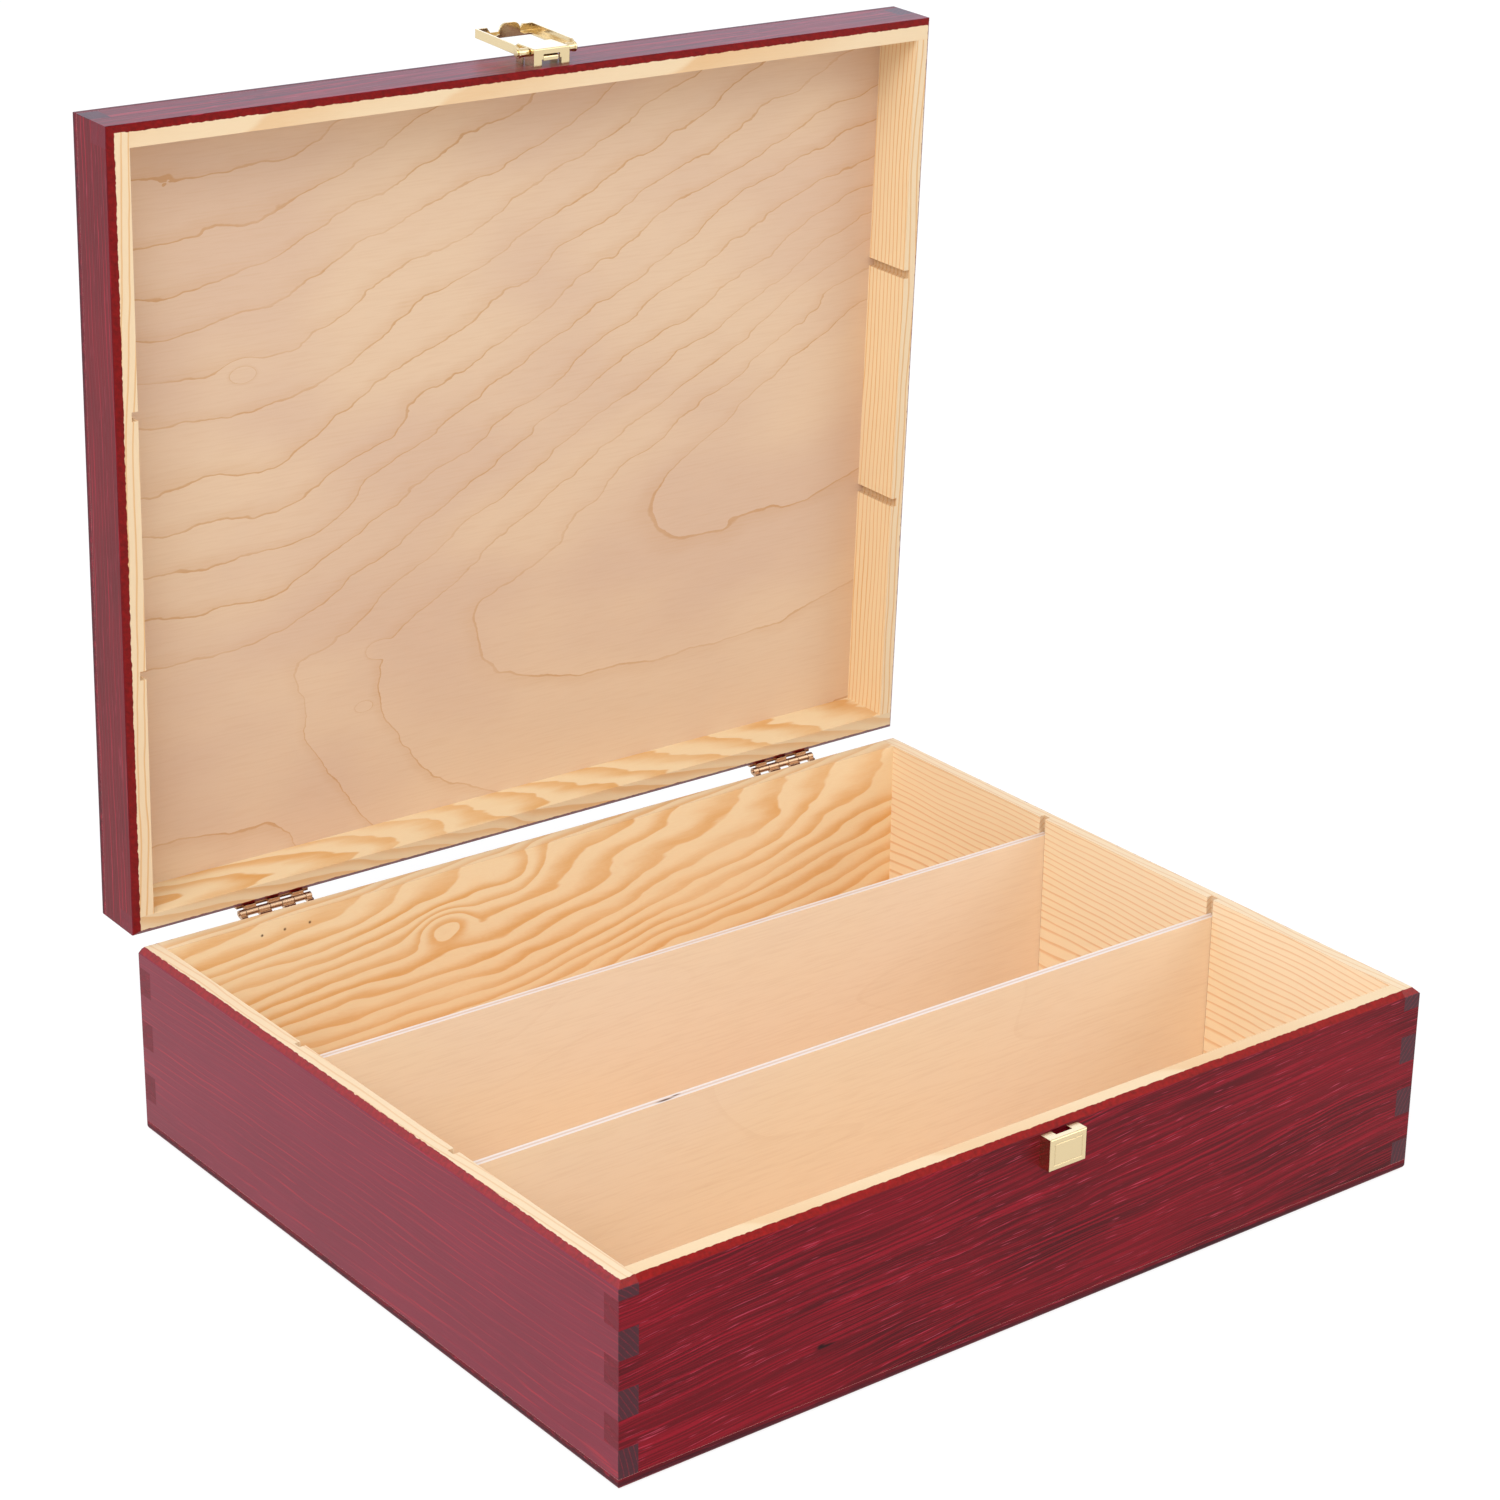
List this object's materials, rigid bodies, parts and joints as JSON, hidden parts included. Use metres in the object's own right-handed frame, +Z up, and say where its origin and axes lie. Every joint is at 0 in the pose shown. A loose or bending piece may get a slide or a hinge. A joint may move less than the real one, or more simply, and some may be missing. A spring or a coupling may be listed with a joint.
{
  "type": "wine crate",
  "caption": "Stained wooden wine box with a hinged lid, finger-jointed corners, plywood dividers that lift out of grooves and a brass tension latch.",
  "frame": {"origin": "centre of the underside of the base", "axes": "+Z up, +X along the long front to the right as seen from the front, -Y towards the front with the catch; the lid stands open at the back"},
  "size_m": [0.35, 0.3264, 0.3811],
  "materials": {
    "stained_board": "pine boards, mahogany red stain and satin lacquer outside, plain inside",
    "stained_plywood": "birch plywood, stained outside, plain inside",
    "plain_plywood": "natural sanded birch plywood",
    "brass_fittings": "pale brass plating"
  },
  "bodies": {
    "base": {"base_front_board": "stained_board", "base_back_board": "stained_board", "base_left_board": "stained_board", "base_right_board": "stained_board", "base_bottom_panel": "stained_plywood", "hinge_left_base_leaf": "brass_fittings", "hinge_right_base_leaf": "brass_fittings", "hinge_left_pin": "brass_fittings", "hinge_right_pin": "brass_fittings", "hinge_screws_base": "brass_fittings", "catch_box": "brass_fittings"},
    "lid": {"lid_front_board": "stained_board", "lid_back_board": "stained_board", "lid_left_board": "stained_board", "lid_right_board": "stained_board", "lid_top_panel": "stained_plywood", "hinge_left_lid_leaf": "brass_fittings", "hinge_right_lid_leaf": "brass_fittings", "hinge_screws_lid": "brass_fittings", "latch_housing": "brass_fittings", "latch_spring": "brass_fittings", "latch_pin": "brass_fittings"},
    "lever": {"latch_lever": "brass_fittings"},
    "front_divider": {"divider_front": "plain_plywood"},
    "rear_divider": {"divider_rear": "plain_plywood"}
  },
  "joints": [
    {"name": "lid_hinge", "type": "hinge", "parent": "base", "child": "lid", "pos_m": [0, 0.1494, 0.0737], "axis": [1, 0, 0], "range_deg": [0, 88]},
    {"name": "lever_pivot", "type": "hinge", "parent": "lid", "child": "lever", "pos_m": [0.0024, 0.14638, 0.37508], "axis": [1, 0, 0], "range_deg": [0, 178.5]},
    {"name": "front_divider_slide", "type": "slide", "parent": "base", "child": "front_divider", "axis": [0, 0, 1], "range_m": [0, 0.028]},
    {"name": "rear_divider_slide", "type": "slide", "parent": "base", "child": "rear_divider", "axis": [0, 0, 1], "range_m": [0, 0.028]}
  ]
}
